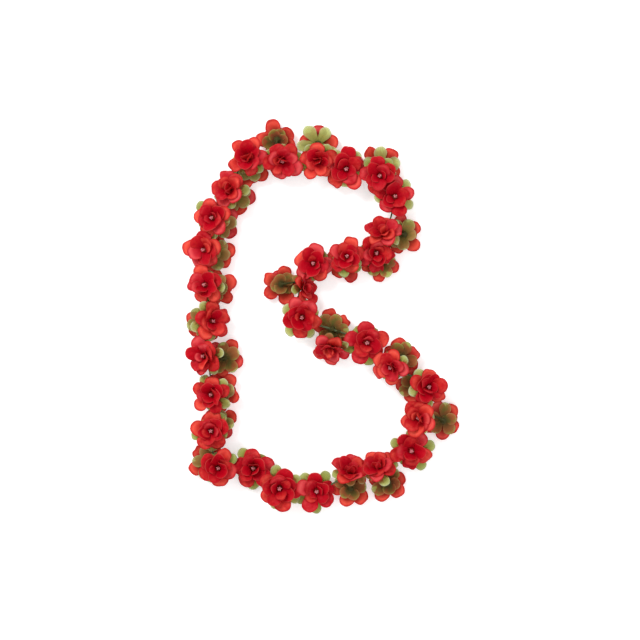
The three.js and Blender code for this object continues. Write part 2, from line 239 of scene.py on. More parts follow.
# ---------------------------------------------------------------- mesh making


class Heap:
    """Vertices, faces and per-vertex numbers that become one mesh.

    along and across: from base to rim, 0 to 1, and from side to side, -1 to 1.
    tone: how light. hue: from coral to pink on a petal, how pale on a calyx.
    back: how much it is a petal's back, brown towards the base partly as painted shade of the calyx, or
    a receptacle's red heart.
    over_red: whether red petals lie behind, where a sepal gets painted red light and shade. stem: 1 on a
    pedicel or stalk.
    """

    KINDS = ("along", "across", "tone", "hue", "back", "over_red", "stem")

    def __init__(self):
        self.points, self.faces, self.count = [], [], 0
        self.numbers = {kind: [] for kind in self.KINDS}

    def add(self, points, faces, **numbers):
        points = np.asarray(points, float)
        self.points.append(points)
        self.faces += [tuple(i + self.count for i in face) for face in faces]
        for kind in self.KINDS:
            value = np.broadcast_to(numbers.get(kind, 0.0), (len(points),))
            self.numbers[kind].append(np.array(value, float))
        self.count += len(points)

    def mesh(self, name, material):
        points = np.vstack(self.points)
        data = bpy.data.meshes.new(name)
        data.from_pydata((points * MM).tolist(), [], self.faces)
        for kind in self.KINDS:
            attribute = data.attributes.new(kind, "FLOAT", "POINT")
            attribute.data.foreach_set("value", np.concatenate(self.numbers[kind]))
        data.polygons.foreach_set("use_smooth", [True] * len(data.polygons))
        data.materials.append(material)
        data.update()
        piece = bpy.data.objects.new(name, data)
        bpy.context.collection.objects.link(piece)
        return piece


def frames_along(path):
    """Two crosswise directions that don't twist, at each point of a path."""
    tangents = np.gradient(path, axis=0)
    tangents /= np.linalg.norm(tangents, axis=1)[:, None]
    side = UP if abs(tangents[0][2]) < 0.9 else np.array([1.0, 0.0, 0.0])
    sides = []
    for tangent in tangents:
        side = side - side.dot(tangent) * tangent
        side = side / np.linalg.norm(side)
        sides.append(side)
    sides = np.array(sides)
    return sides, np.cross(tangents, sides)


# A twisted cord's radius between two plies, and what a ply adds to it, as shares of the whole.
PLY_VALLEY, PLY_CREST = 0.74, 0.26


def tube(path, radii, sides=6, plies=0, pitch=1.0):
    """A closed tube along a path. With plies, its section is that many twisted strands."""
    path = np.asarray(path, float)
    count = len(path)
    radii = np.broadcast_to(radii, (count,))
    a, b = frames_along(path)
    angles = np.linspace(0, 2 * math.pi, sides, endpoint=False)
    turns = 2 * math.pi * distances(path) / pitch
    rings = []
    for i in range(count):
        share = np.ones(sides)
        if plies:
            share = PLY_VALLEY + PLY_CREST * np.abs(np.cos(plies * (angles - turns[i]) / 2)) ** 0.7
        x, y = np.cos(angles) * share * radii[i], np.sin(angles) * share * radii[i]
        rings.append(path[i] + x[:, None] * a[i] + y[:, None] * b[i])
    faces = []
    for i in range(count - 1):
        for j in range(sides):
            k = (j + 1) % sides
            faces.append((i * sides + j, i * sides + k, (i + 1) * sides + k, (i + 1) * sides + j))
    faces.append(tuple(range(sides - 1, -1, -1)))
    last = (count - 1) * sides
    faces.append(tuple(range(last, last + sides)))
    return np.vstack(rings), faces


def turned(profile, sides, lumps=0.0, phase=0.0):
    """A closed turned form from (radius, height) pairs, the first and the last on the axis.

    With lumps, it bulges by that share at each lobe.
    """
    points = [(0.0, 0.0, profile[0][1])]
    for radius, height in profile[1:-1]:
        for j in range(sides):
            angle = 2 * math.pi * j / sides
            r = radius * (1 + lumps * math.cos(LOBES * (angle - phase)))
            points.append((r * math.cos(angle), r * math.sin(angle), height))
    points.append((0.0, 0.0, profile[-1][1]))
    rings = len(profile) - 2
    faces = []
    for j in range(sides):
        k = (j + 1) % sides
        faces.append((0, 1 + k, 1 + j))
        for i in range(rings - 1):
            low, high = 1 + i * sides, 1 + (i + 1) * sides
            faces.append((low + j, low + k, high + k, high + j))
        top = 1 + (rings - 1) * sides
        faces.append((top + j, top + k, len(points) - 1))
    return np.array(points), faces


# ---------------------------------------------------------------- petals and sepals


class Leaf:
    """The form of one petal or sepal, in the blossom's frame before it is turned to its place.

    reach and root are how far its tip and its base are from the axis, and height is its base's.
    Its slope goes from rise at the base to fall at the tip, in degrees. width and base are half its
    width, at the widest and at the base. cup raises both its sides, twist raises one and lowers the
    other, ruffle waves its rim and curl turns the rim down. notch is the share of the width that is
    cut from the tip. length is along the sheet, for a petal that folds back too far for a reach.
    """

    SWEEP = math.radians(122)  # how far the round rim goes to each side of the tip
    STATIONS = 41
    RIM_WAVE, RIM_RIPPLE, NOTCH_SPREAD = 0.035, 0.02, 0.3
    CURL_START = 0.72
    CREASE_SPREAD = 1.1
    QUILT, QUILT_WAVES = 0.22, 9

    def __init__(self, reach, root, height, rise, fall, width, base, cup, twist, ruffle, curl,
                 rng, notch=0.0, length=None):
        self.reach, self.root, self.height = reach, root, height
        self.rise, self.fall, self.width, self.base = rise, fall, width, base
        self.cup, self.twist, self.ruffle, self.curl, self.notch = cup, twist, ruffle, curl, notch
        self.length = length
        self.waves = rng.uniform(2.2, 3.6)
        self.phases = rng.uniform(0, 2 * math.pi, 4)
        self.crease = rng.uniform(0.2, 0.6)
        self.lop = rng.uniform(-0.06, 0.06)

    def mid(self, cols, rows, open_by, shorten):
        """Points of the sheet as rows from base to rim by columns from side to side."""
        # The line along the middle, from base to tip.
        rise, fall = math.radians(self.rise), math.radians(self.fall)
        steps = np.linspace(0, 1, self.STATIONS)
        slope = rise + (fall - rise) * steps**0.85
        length = self.length or (self.reach - self.root) / np.cos(slope).mean()
        length *= 1 - shorten
        slope = slope - math.radians(open_by) * steps**0.3
        ds = length / (self.STATIONS - 1)
        out = np.concatenate([[0], np.cumsum((np.cos(slope[1:]) + np.cos(slope[:-1])) / 2 * ds)])
        up = np.concatenate([[0], np.cumsum((np.sin(slope[1:]) + np.sin(slope[:-1])) / 2 * ds)])

        # The outline: u is along the sheet and v across it.
        width = self.width * (1 - 0.5 * shorten)
        phi = np.linspace(-self.SWEEP, self.SWEEP, cols)
        side = phi / self.SWEEP
        rim = 1 + self.RIM_WAVE * np.sin(2 * phi + self.phases[0])
        rim = rim + self.RIM_RIPPLE * np.sin(5 * phi + self.phases[1])
        rim = rim - self.notch * np.exp(-((phi / self.NOTCH_SPREAD) ** 2))
        edge_u = length - width + width * rim * np.cos(phi)
        edge_v = width * rim * np.sin(phi) * (1 + self.lop * np.sign(phi))
        t = np.asarray(rows)[:, None]
        u = t * edge_u
        v = (1 - t) * self.base * side + t * edge_v

        # How far each point is lifted off a plain bent sheet.
        share = np.clip(u / length, 0, 1)
        across = v / width
        lift = self.cup * across**2 * share**0.7 + self.twist * across * share**0.6
        lift = lift + self.ruffle * t**3 * np.sin(self.waves * phi + self.phases[2])
        lift = lift - self.curl * np.clip((t - self.CURL_START) / (1 - self.CURL_START), 0, 1) ** 2
        lift = lift - self.crease * np.exp(-((v / self.CREASE_SPREAD) ** 2)) * share * (1 - 0.6 * share)
        quilt = np.sin(side * self.QUILT_WAVES + self.phases[3])
        lift = lift + self.QUILT * quilt * t * (1 - t) * 4

        lean = np.interp(share, steps, slope)
        x = self.root + np.interp(share, steps, out) - np.sin(lean) * lift
        y = v * (1 - 0.05 * self.cup * share)
        z = self.height + np.interp(share, steps, up) + np.cos(lean) * lift
        return np.stack([x, y, z], axis=-1)


def about_axis(points, angle):
    c, s = math.cos(angle), math.sin(angle)
    x, y, z = points[..., 0], points[..., 1], points[..., 2]
    return np.stack([c * x - s * y, s * x + c * y, z], axis=-1)


def grid_faces(rows, cols, start=0, flip=False):
    faces = []
    for i in range(rows - 1):
        for j in range(cols - 1):
            a = start + i * cols + j
            face = (a, a + cols, a + cols + 1, a + 1)
            faces.append(face[::-1] if flip else face)
    return faces


def shell(mid, thick):
    """The closed thin body round a sheet of points, and its faces. thick is per row."""
    rows, cols, _ = mid.shape
    normal = np.cross(np.gradient(mid, axis=0), np.gradient(mid, axis=1))
    normal /= np.maximum(np.linalg.norm(normal, axis=-1), 1e-9)[..., None]
    half = np.asarray(thick)[:, None, None] / 2
    points = np.concatenate([(mid + normal * half).reshape(-1, 3), (mid - normal * half).reshape(-1, 3)])
    n = rows * cols
    faces = grid_faces(rows, cols) + grid_faces(rows, cols, n, flip=True)
    ring = list(range(cols)) + [i * cols + cols - 1 for i in range(1, rows)]
    ring += [(rows - 1) * cols + j for j in range(cols - 2, -1, -1)]
    ring += [i * cols for i in range(rows - 2, 0, -1)]
    for a, b in zip(ring, ring[1:] + ring[:1]):
        faces.append((a, b, b + n, a + n))
    return points, faces


# For each kind of sheet, how many columns it has and where its rows are, from base to rim.
FINE = {"petal": (19, (0, 0.16, 0.32, 0.46, 0.6, 0.73, 0.85, 0.94, 1)),
        "sepal": (15, (0, 0.18, 0.36, 0.54, 0.7, 0.84, 0.94, 1)),
        "inner": (13, (0, 0.25, 0.5, 0.72, 0.9, 1))}
COARSE = (7, (0.12, 0.34, 0.56, 0.78, 1))
COARSE_FACES = grid_faces(len(COARSE[1]), COARSE[0])
# Ways to open a petal: by how many degrees more, shorter by which share, how many degrees aside.
TRIES = [(0, 0, 0), (7, 0, 0), (-7, -0.02, 0), (0, 0.02, 6), (0, 0.02, -6), (-14, -0.05, 0),
         (13, 0, 0), (-8, 0, 9), (-8, 0, -9), (-22, -0.07, 0), (9, 0.03, 9), (9, 0.03, -9),
         (-30, -0.08, 0), (-16, 0.04, 0), (-24, 0.08, 0)]
SEPAL_TRIES = 13  # a sepal leaves out the last two

settled = []


def opened(blossom, leaf, angle, way, grid):
    """The leaf's sheet on the lei, opened in one of the ways."""
    open_by, shorten, aside = way
    points = about_axis(leaf.mid(*grid, open_by, shorten), angle + math.radians(aside))
    points[..., 2] *= np.where(points[..., 2] > 0, blossom.squash, 1.0)
    return pressed(blossom.place(points.reshape(-1, 3))).reshape(points.shape)


def settle(blossom, leaf, angle, kind, tries=len(TRIES)):
    """The leaf's sheet, opened in the way that meets the fewest of those already there."""
    best = None
    for way in TRIES[:tries]:
        coarse = opened(blossom, leaf, angle, way, COARSE).reshape(-1, 3)
        centre = coarse.mean(axis=0)
        radius = np.linalg.norm(coarse - centre, axis=1).max()
        tree = BVHTree.FromPolygons(coarse.tolist(), COARSE_FACES)
        met = 0
        for other_centre, other_radius, other_tree in settled:
            if np.abs(other_centre - centre).max() < radius + other_radius:
                met += len(tree.overlap(other_tree))
                if best and met >= best[0]:
                    break
        if best is None or met < best[0]:
            best = (met, (centre, radius, tree), way)
        if met == 0:
            break
    settled.append(best[1])
    return opened(blossom, leaf, angle, best[2], FINE[kind])


OUTER_THICK, MIDDLE_THICK, INNER_THICK, SEPAL_THICK = 0.34, 0.3, 0.28, 0.32
NOTCHES = (0, 0, 0.07)  # one petal in three has a notch
FOLD_ASIDE = (-0.5, 0.55)  # where the two folded petals stand, in radians from the raised side


def outer_petals(rng, wide, full):
    leaves = []
    for i in range(LOBES):
        leaf = Leaf(reach=rng.uniform(18.9, 22.2), root=2.7, height=1.3, rise=rng.uniform(32, 50),
                    fall=rng.uniform(-52, 8), width=7.3 + 1.5 * full + rng.uniform(-0.5, 0.5),
                    base=1.7, cup=rng.uniform(0.4, 2.2), twist=rng.uniform(0.7, 1.7),
                    ruffle=rng.uniform(0.3, 1.3), curl=rng.uniform(-0.8, 1.8), rng=rng,
                    notch=rng.choice(NOTCHES))
        tone = rng.uniform(0.15, 0.85) + 0.4 * wide
        angle = LOBE_STEP * i + rng.uniform(-0.16, 0.16)
        leaves.append((leaf, angle, "petal", OUTER_THICK, tone, rng.uniform(0, 1)))
    return leaves


def middle_petals(rng, wide, sway):
    leaves = []
    count = rng.choice([4, 5, 5])
    for i in range(count):
        leaf = Leaf(reach=rng.uniform(13.0, 15.8) + 3.4 * wide * rng.uniform(0.2, 1), root=2.4,
                    height=2.5, rise=rng.uniform(46, 62) - 12 * wide,
                    fall=rng.uniform(4, 30) - 16 * wide, width=rng.uniform(7.2, 8.5), base=1.5,
                    cup=rng.uniform(0.8, 2.8), twist=rng.uniform(0.7, 1.7),
                    ruffle=rng.uniform(0.4, 1.4), curl=rng.uniform(-0.6, 1.6), rng=rng,
                    notch=rng.choice(NOTCHES))
        tone = rng.uniform(-0.15, 0.5) + 0.5 * wide
        angle = LOBE_STEP * 0.5 + sway + 2 * math.pi / count * i + rng.uniform(-0.2, 0.2)
        leaves.append((leaf, angle, "petal", MIDDLE_THICK, tone, rng.uniform(0, 1)))
    return leaves


def inner_petals(rng, wide, folded):
    leaves = []
    first = rng.uniform(0, 6.3)
    count = 1 if folded else rng.choice([1, 2, 2, 3])
    for i in range(count):
        leaf = Leaf(reach=rng.uniform(7.6, 12.0), root=2.1, height=3.2,
                    rise=rng.uniform(58, 70) - 14 * wide, fall=rng.uniform(16, 44) - 18 * wide,
                    width=rng.uniform(4.8, 6.4), base=1.1, cup=rng.uniform(0.9, 2.2),
                    twist=rng.uniform(0.3, 1.1), ruffle=rng.uniform(0.3, 0.9),
                    curl=rng.uniform(-0.3, 1.2), rng=rng)
        angle = first + 2 * math.pi / count * i + rng.uniform(-0.45, 0.45)
        tone = rng.uniform(-0.1, 0.5) + 0.45 * wide
        leaves.append((leaf, angle, "inner", INNER_THICK, tone, rng.uniform(0, 1)))
    return leaves


def folded_petals(rng, raised_side):
    """Two petals that stand on the raised side and fold over the heart."""
    leaves = []
    for aside in FOLD_ASIDE:
        leaf = Leaf(reach=0, root=2.3, height=3.0, rise=rng.uniform(68, 80),
                    fall=rng.uniform(92, 118), width=rng.uniform(5.4, 6.6), base=1.3,
                    cup=rng.uniform(0.8, 2.0), twist=rng.uniform(0.3, 1.1),
                    ruffle=rng.uniform(0.4, 1.0), curl=rng.uniform(-0.3, 1.2), rng=rng,
                    length=rng.uniform(11.5, 13.5))
        angle = raised_side + aside + rng.uniform(-0.25, 0.25)
        leaves.append((leaf, angle, "inner", INNER_THICK, rng.uniform(0.1, 0.9), rng.uniform(0, 1)))
    return leaves


def petal_leaves(blossom, rng):
    """The red tiers of one blossom: (form, angle, kind of sheet, thickness, tone, hue)."""
    wide = OPENNESS.get(blossom.number, USUAL_OPENNESS)
    full, sway = rng.uniform(0, 1), rng.uniform(-0.16, 0.16)
    folded = blossom.number in FOLDED
    leaves = outer_petals(rng, wide, full)
    leaves += middle_petals(rng, wide, sway)
    leaves += inner_petals(rng, wide, folded)
    if folded:
        leaves += folded_petals(rng, blossom.raised_side)
    return leaves


def sepal_leaves(blossom, rng):
    """The sepals of one blossom: (form, angle). Most hang under it, or lie flat if it faces down."""
    leaves = []
    broad = 1.0 if blossom.face_down else 0.0
    for i in range(LOBES):
        reach = SEPAL_REACH.get(blossom.number, USUAL_REACH) + rng.uniform(-1.4, 1.2)
        steepest, flattest = (-6, 5) if blossom.face_down else (-74, -24)
        if i in LONG_SEPALS.get(blossom.number, ()):
            reach += LONGER
            steepest, flattest = -24, 2
        if i in SHORT_SEPALS.get(blossom.number, ()):
            reach -= SHORTER
        leaf = Leaf(reach=reach, root=2.2, height=0.7, rise=rng.uniform(4, 11),
                    fall=rng.uniform(steepest, flattest), width=rng.uniform(5.2, 6.2) + broad,
                    base=1.6 + broad, cup=rng.uniform(-0.3, 1.1), twist=rng.uniform(-0.6, 0.6),
                    ruffle=rng.uniform(0.3, 0.9), curl=rng.uniform(-0.4, 0.9), rng=rng)
        angle = LOBE_STEP * (i + 0.5) + rng.uniform(-0.1, 0.1) * (1 + broad)
        leaves.append((leaf, angle))
    return leaves


def rows_of(kind):
    return np.asarray(FINE[kind][1])


def sheet_numbers(kind):
    """along and across for both faces of a shell."""
    cols, rows = FINE[kind]
    along = np.repeat(np.asarray(rows), cols)
    across = np.tile(np.linspace(-1, 1, cols), len(rows))
    return np.tile(along, 2), np.tile(across, 2)


# A petal is looked for along the axis, from this far before a sepal's point and over this length.
SIGHT_START, SIGHT_LENGTH = 1.5, 17


def red_behind(blossom, points, reds):
    """For each point of a sepal, whether the blossom's own petals lie behind it."""
    found = np.zeros(len(points))
    way = Vector(blossom.axis)
    for i, p in enumerate(points):
        start = Vector(p) - way * SIGHT_START
        found[i] = any(red.ray_cast(start, way, SIGHT_LENGTH)[0] is not None for red in reds)
    return found


# How brown an upturned petal's back is towards its base: partly the receptacle's green, partly painted
# shade of the calyx. A downturned blossom shows its backs, which are fully brown at the base, and its
# petals are lighter by this much, with more of the painted glow of light through the silk, and their hue
# brought nearer to coral.
UPTURNED_BACK = 0.3
DOWNTURNED_PAINTED_GLOW, DOWNTURNED_HUE = 0.35, 0.75


def make_petals(blossom, rng):
    """The red sheets of one blossom, and a search tree of each for red_behind."""
    heap = Heap()
    reds = []
    for leaf, angle, kind, thick, tone, hue in petal_leaves(blossom, rng):
        cols, rows = FINE[kind]
        mid = settle(blossom, leaf, angle, kind)
        reds.append(BVHTree.FromPolygons(mid.reshape(-1, 3).tolist(), grid_faces(len(rows), cols)))
        points, faces = shell(mid, thick * blossom.size * (1.25 - 0.6 * rows_of(kind)))
        along, across = sheet_numbers(kind)
        back = UPTURNED_BACK
        # A downturned blossom's petals are made lighter and nearer to coral, which gives them more of
        # the painted glow of light through the silk.
        if blossom.face_down:
            back, tone, hue = 1.0, tone + DOWNTURNED_PAINTED_GLOW, hue * DOWNTURNED_HUE
        heap.add(trimmed(points), faces, along=along, across=across,
                 tone=float(np.clip(tone, 0, 1)), hue=hue,
                 back=np.repeat([0.0, back], len(points) // 2))
    return heap, reds


# The receptacle from the pedicel up, as (radius, height over the calyx), and where its red top is.
RECEPTACLE = [(2.75, -0.7), (3.35, -0.1), (3.75, 0.7), (3.3, 1.5), (2.3, 2.2), (1.2, 2.6), (0, 2.7)]
HEART_FROM = 0.5
NECK = 2.65  # the pedicel's radius at the receptacle, and below it at its foot
THREADED_FOOT, TIED_FOOT = 2.2, 1.25
PEDICEL_SIDES = 20


def add_pedicel(heap, blossom, tone):
    """The pedicel, which widens from its foot to the receptacle."""
    threaded = blossom.held == "c"
    length = HUB_LENGTH if threaded else TIED_HUB_LENGTH
    foot = THREADED_FOOT if threaded else TIED_FOOT
    profile = [(0, -length), (foot * 0.72, -length), (foot, -length + 0.35)]
    for s in (0.3, 0.6, 0.85):
        profile.append((foot + (NECK - foot) * s**1.4, -length + (length - 0.5) * s))
    profile += RECEPTACLE
    points, faces = turned(profile, PEDICEL_SIDES, lumps=0.05, phase=LOBE_STEP / 2)
    heart = (points[:, 2] > HEART_FROM).astype(float)
    heap.add(trimmed(blossom.place(points)), faces, stem=1.0, tone=tone, over_red=0.6, back=heart)


STALK_STEPS, STALK_SIDES, STALK_RADII = 14, 8, (1.3, 0.85)
TIE_STEPS, TIE_SIDES, TIE_TURNS, TIE_HALF_WIDTH = 46, 7, 2.6, 1.5
TIE_RADIUS, TIE_STRAND = 1.55, 0.62
STALK_CLEARANCE = 0.05  # over the surface


def add_stalk(heap, blossom, tone):
    """The stalk from a tied blossom to the cord, and its turns round it."""
    spot, run = tie_spot(blossom)
    start, bend = blossom.along(-TIED_HUB_LENGTH * 0.5), blossom.along(-TIED_HUB_LENGTH * 1.6)
    path = quadratic(start, bend, spot, np.linspace(0, 1, STALK_STEPS)[:, None])
    stalk = tube(path, blossom.size * np.linspace(*STALK_RADII, STALK_STEPS), STALK_SIDES)
    side = np.cross(run, UP)
    side /= np.linalg.norm(side)
    lift = np.cross(side, run)
    turns = np.linspace(0, 2 * math.pi * TIE_TURNS, TIE_STEPS)
    coil = spot + run * np.linspace(-TIE_HALF_WIDTH, TIE_HALF_WIDTH, TIE_STEPS)[:, None]
    coil = coil + TIE_RADIUS * (np.cos(turns)[:, None] * side + np.sin(turns)[:, None] * lift)
    for points, faces in (stalk, tube(coil, TIE_STRAND, TIE_SIDES)):
        points = trimmed(points, STALK_CLEARANCE)
        heap.add(points, faces, stem=1.0, tone=tone, over_red=0.3)


def make_calyx(blossom, rng, reds, sepals):
    """Five sepals on a pedicel, with the stalk of a tied blossom."""
    heap = Heap()
    tone = rng.uniform(0, 1)
    pale = PALE_CALYX.get(blossom.number, rng.uniform(0, 0.25))
    along, across = sheet_numbers("sepal")
    for mid in sepals:
        points, faces = shell(mid, SEPAL_THICK * blossom.size * (1.3 - 0.7 * rows_of("sepal")))
        # Where petals lie behind a sepal, its colour gets painted red light through it and painted
        # shade.
        over = red_behind(blossom, mid.reshape(-1, 3), reds)
        own = float(np.clip(tone + rng.uniform(-0.3, 0.3), 0, 1))
        heap.add(trimmed(points), faces, along=along, across=across, tone=own, hue=pale,
                 over_red=np.tile(over, 2))
    add_pedicel(heap, blossom, tone)
    if blossom.held == "s":
        add_stalk(heap, blossom, tone)
    return heap


GOLDEN_ANGLE = 2.399963
STAMEN_HEIGHT, STAMEN_FOOT = 8.4, 2.2
STAMEN_STEPS, STAMEN_SIDES, STAMEN_RADII = 5, 5, (0.24, 0.15)
ANTHER = [(0, -0.7), (0.62, -0.5), (1, 0), (0.7, 0.5), (0, 0.72)]
ANTHER_STRETCH, ANTHER_SIDES = 1.25, 7


def make_stamens(blossom, rng):
    """A small bunch of threads, each with a round anther at its tip."""
    heap = Heap()
    height = STAMEN_HEIGHT * blossom.squash
    for i in range(STAMENS):
        around = GOLDEN_ANGLE * i + rng.uniform(-0.3, 0.3)
        away = 0.15 + 1.6 * math.sqrt(i / STAMENS)
        tall = height * rng.uniform(0.84, 1.05) * (1 - 0.05 * away**2)
        out = np.array([math.cos(around), math.sin(around), 0])
        foot = 0.35 * away * out + STAMEN_FOOT * UP
        head = away * out + tall * UP
        t = np.linspace(0, 1, STAMEN_STEPS)[:, None]
        path = quadratic(foot, (foot + head) / 2 - out * 0.3, head, t)
        points, faces = tube(path, np.linspace(*STAMEN_RADII, STAMEN_STEPS), STAMEN_SIDES)
        along = np.repeat(t[:, 0] * 0.6, STAMEN_SIDES)
        heap.add(pressed(blossom.place(points)), faces, along=along, tone=0.5)
        fat = rng.uniform(0.36, 0.5)
        profile = [(r * fat, z * fat * ANTHER_STRETCH) for r, z in ANTHER]
        points, faces = turned(profile, ANTHER_SIDES)
        tip = head - foot
        tip /= np.linalg.norm(tip)
        side = np.cross(tip, [0.3, 0.2, 1.0]) + 1e-6
        side /= np.linalg.norm(side)
        points = head + points @ np.column_stack([side, np.cross(tip, side), tip]).T
        heap.add(pressed(blossom.place(points)), faces, along=1.0, tone=rng.uniform(0, 1))
    return heap


# ---------------------------------------------------------------- materials

FINE_BUMP, FINER_BUMP = 0.00025, 0.0002  # in metres
VEIN_RED, VEIN_GREEN = (0.18, 0.0, 0.005), (0.07, 0.065, 0.012)
# The brown for petal backs is partly the receptacle's green and partly painted shade of the calyx.
# The pink for petal rims is a painted highlight.
PAINTED_RIM_HIGHLIGHT, BACK_BROWN_AND_SHADE, HEART_RED = (0.80, 0.15, 0.12), (0.15, 0.045, 0.012), (0.42, 0.002, 0.012)
LEAF_GREEN = (0.27, 0.36, 0.045)
DARK_STALK, LIGHT_STALK = (0.035, 0.03, 0.010), (0.085, 0.08, 0.022)
RED_GLOW, GREEN_GLOW = (1.0, 0.10, 0.045), (0.72, 0.80, 0.22)
RED_SHEEN, GREEN_SHEEN = (1.0, 0.45, 0.4), (0.9, 1.0, 0.6)
POLLEN, POLLEN_SPECK = (0.70, 0.36, 0.32), (0.84, 0.46, 0.44)
DARK_CORD, LIGHT_CORD, CORD_FIBRE = (0.035, 0.060, 0.016), (0.085, 0.125, 0.035), (0.19, 0.23, 0.09)


def new_material(name):
    material = bpy.data.materials.new(name)
    material.use_nodes = True
    tree = material.node_tree
    tree.nodes.clear()
    out = tree.nodes.new("ShaderNodeOutputMaterial")
    return material, tree, out


def put_in(tree, socket, value):
    """Links a socket to another's output, or sets it to a number or a colour."""
    if isinstance(value, bpy.types.NodeSocket):
        tree.links.new(value, socket)
    elif isinstance(value, tuple) and len(value) == 3:
        socket.default_value = (*value, 1.0)
    else:
        socket.default_value = value


def attribute(tree, name):
    node = tree.nodes.new("ShaderNodeAttribute")
    node.attribute_name = name
    return node.outputs["Fac"]


def maths(tree, operation, *values):
    node = tree.nodes.new("ShaderNodeMath")
    node.operation = operation
    for socket, value in zip(node.inputs, values):
        put_in(tree, socket, value)
    return node.outputs[0]


def times(tree, a, b):
    return maths(tree, "MULTIPLY", a, b)


def plus(tree, a, b):
    return maths(tree, "ADD", a, b)


def minus(tree, a, b):
    return maths(tree, "SUBTRACT", a, b)


def ranged(tree, value, low, high, to_low=0.0, to_high=1.0):
    node = tree.nodes.new("ShaderNodeMapRange")
    node.interpolation_type = "SMOOTHSTEP"
    for name, number in (("Value", value), ("From Min", low), ("From Max", high),
                         ("To Min", to_low), ("To Max", to_high)):
        put_in(tree, node.inputs[name], number)
    return node.outputs["Result"]


def mixed(tree, factor, a, b):
    node = tree.nodes.new("ShaderNodeMix")
    node.data_type = "RGBA"
    # The mix node has a set of sockets for each data type. These are the colours'.
    put_in(tree, node.inputs[0], factor)
    put_in(tree, node.inputs[6], a)
    put_in(tree, node.inputs[7], b)
    return node.outputs[2]


def noise(tree, scale, detail, rough=0.55):
    where = tree.nodes.new("ShaderNodeTexCoord")
    node = tree.nodes.new("ShaderNodeTexNoise")
    tree.links.new(where.outputs["Object"], node.inputs["Vector"])
    node.inputs["Scale"].default_value = scale
    node.inputs["Detail"].default_value = detail
    node.inputs["Roughness"].default_value = rough
    return node.outputs["Fac"]


def ramp(tree, value, stops):
    node = tree.nodes.new("ShaderNodeValToRGB")
    elements = node.color_ramp.elements
    elements[0].position, elements[0].color = stops[0][0], (*stops[0][1], 1)
    elements[1].position, elements[1].color = stops[-1][0], (*stops[-1][1], 1)
    for position, colour in stops[1:-1]:
        elements.new(position).color = (*colour, 1)
    put_in(tree, node.inputs["Fac"], value)
    return node.outputs["Color"]


def bumped(tree, height, strength, distance):
    node = tree.nodes.new("ShaderNodeBump")
    node.inputs["Strength"].default_value = strength
    node.inputs["Distance"].default_value = distance
    put_in(tree, node.inputs["Height"], height)
    return node.outputs["Normal"]


def veins(tree, count, bend):
    """Fine lines that fan out from a petal's base, 1 on a vein and 0 between."""
    wander = times(tree, minus(tree, noise(tree, 260, 2), 0.5), bend)
    phase = plus(tree, times(tree, attribute(tree, "across"), count), wander)
    line = maths(tree, "ABSOLUTE", maths(tree, "SINE", phase))
    return ranged(tree, line, 0.35, 0.0)


def principled(tree, colour, rough, normal, **fixed):
    node = tree.nodes.new("ShaderNodeBsdfPrincipled")
    put_in(tree, node.inputs["Base Color"], colour)
    put_in(tree, node.inputs["Roughness"], rough)
    if normal is not None:
        put_in(tree, node.inputs["Normal"], normal)
    for name, value in fixed.items():
        put_in(tree, node.inputs[name.replace("_", " ")], value)
    return node.outputs[0]


def let_through(tree, solid, colour, share, out):
    """Some of the light passes through the sheet."""
    node = tree.nodes.new("ShaderNodeBsdfTranslucent")
    put_in(tree, node.inputs["Color"], colour)
    mix = tree.nodes.new("ShaderNodeMixShader")
    mix.inputs[0].default_value = share
    tree.links.new(solid, mix.inputs[1])
    tree.links.new(node.outputs[0], mix.inputs[2])
    tree.links.new(mix.outputs[0], out.inputs["Surface"])


def petal_colour(tree, mottle, vein):
    """Deep red or, on light petals, coral or pink, with veins. Painted light and shade: darker at the
    base, a painted glow of light through the silk near the tip, a painted highlight on the belly, a
    painted pink highlight on the rim, and a back that is brown towards the base, partly the receptacle's
    green and partly painted shade of the calyx.
    """
    along, across = attribute(tree, "along"), attribute(tree, "across")
    tone, hue, back = (attribute(tree, name) for name in ("tone", "hue", "back"))
    # The ramps run from base to rim. Darker at the base is painted shade in the cup. The coral and pink
    # ramps are lightest near the tip, a painted glow of light through the thin silk, and darker again at
    # the very rim.
    deep = ramp(tree, along, [(0, (0.46, 0.0, 0.010)), (0.3, (0.52, 0.0, 0.012)),
                              (0.7, (0.54, 0.001, 0.013)), (1, (0.58, 0.008, 0.018))])
    coral = ramp(tree, along, [(0, (0.54, 0.002, 0.012)), (0.3, (0.68, 0.014, 0.020)),
                               (0.6, (0.80, 0.050, 0.036)), (0.84, (0.95, 0.13, 0.085)),
                               (1, (0.62, 0.015, 0.016))])
    pink = ramp(tree, along, [(0, (0.50, 0.002, 0.014)), (0.3, (0.64, 0.012, 0.030)),
                              (0.6, (0.74, 0.035, 0.055)), (0.84, (0.90, 0.12, 0.125)),
                              (1, (0.56, 0.01, 0.022))])
    light = mixed(tree, ranged(tree, hue, 0.45, 0.75), coral, pink)
    # Painted highlight: the light colour shows most on the middle of a petal's belly and fades towards
    # its sides.
    belly_highlight = minus(tree, 1.0, times(tree, across, times(tree, across, 0.8)))
    wander = plus(tree, tone, times(tree, minus(tree, mottle, 0.5), 0.9))
    pale = times(tree, ranged(tree, wander, 0.3, 1.05), belly_highlight)
    colour = mixed(tree, pale, deep, light)
    shade = times(tree, vein, ranged(tree, along, 0.02, 0.9, 0.22, 0.12))
    colour = mixed(tree, shade, colour, VEIN_RED)
    # Painted highlight: a pink line along the rim of the darker petals.
    rim = times(tree, ranged(tree, along, 0.93, 1.0, 0.0, 0.42), ranged(tree, tone, 0.7, 0.3))
    colour = mixed(tree, rim, colour, PAINTED_RIM_HIGHLIGHT)
    # A petal's back turns brown towards its base: partly the receptacle's green, partly painted shade of
    # the calyx.
    under = times(tree, back, ranged(tree, along, 0.15, 0.92, 0.92, 0.1))
    return mixed(tree, under, colour, BACK_BROWN_AND_SHADE)


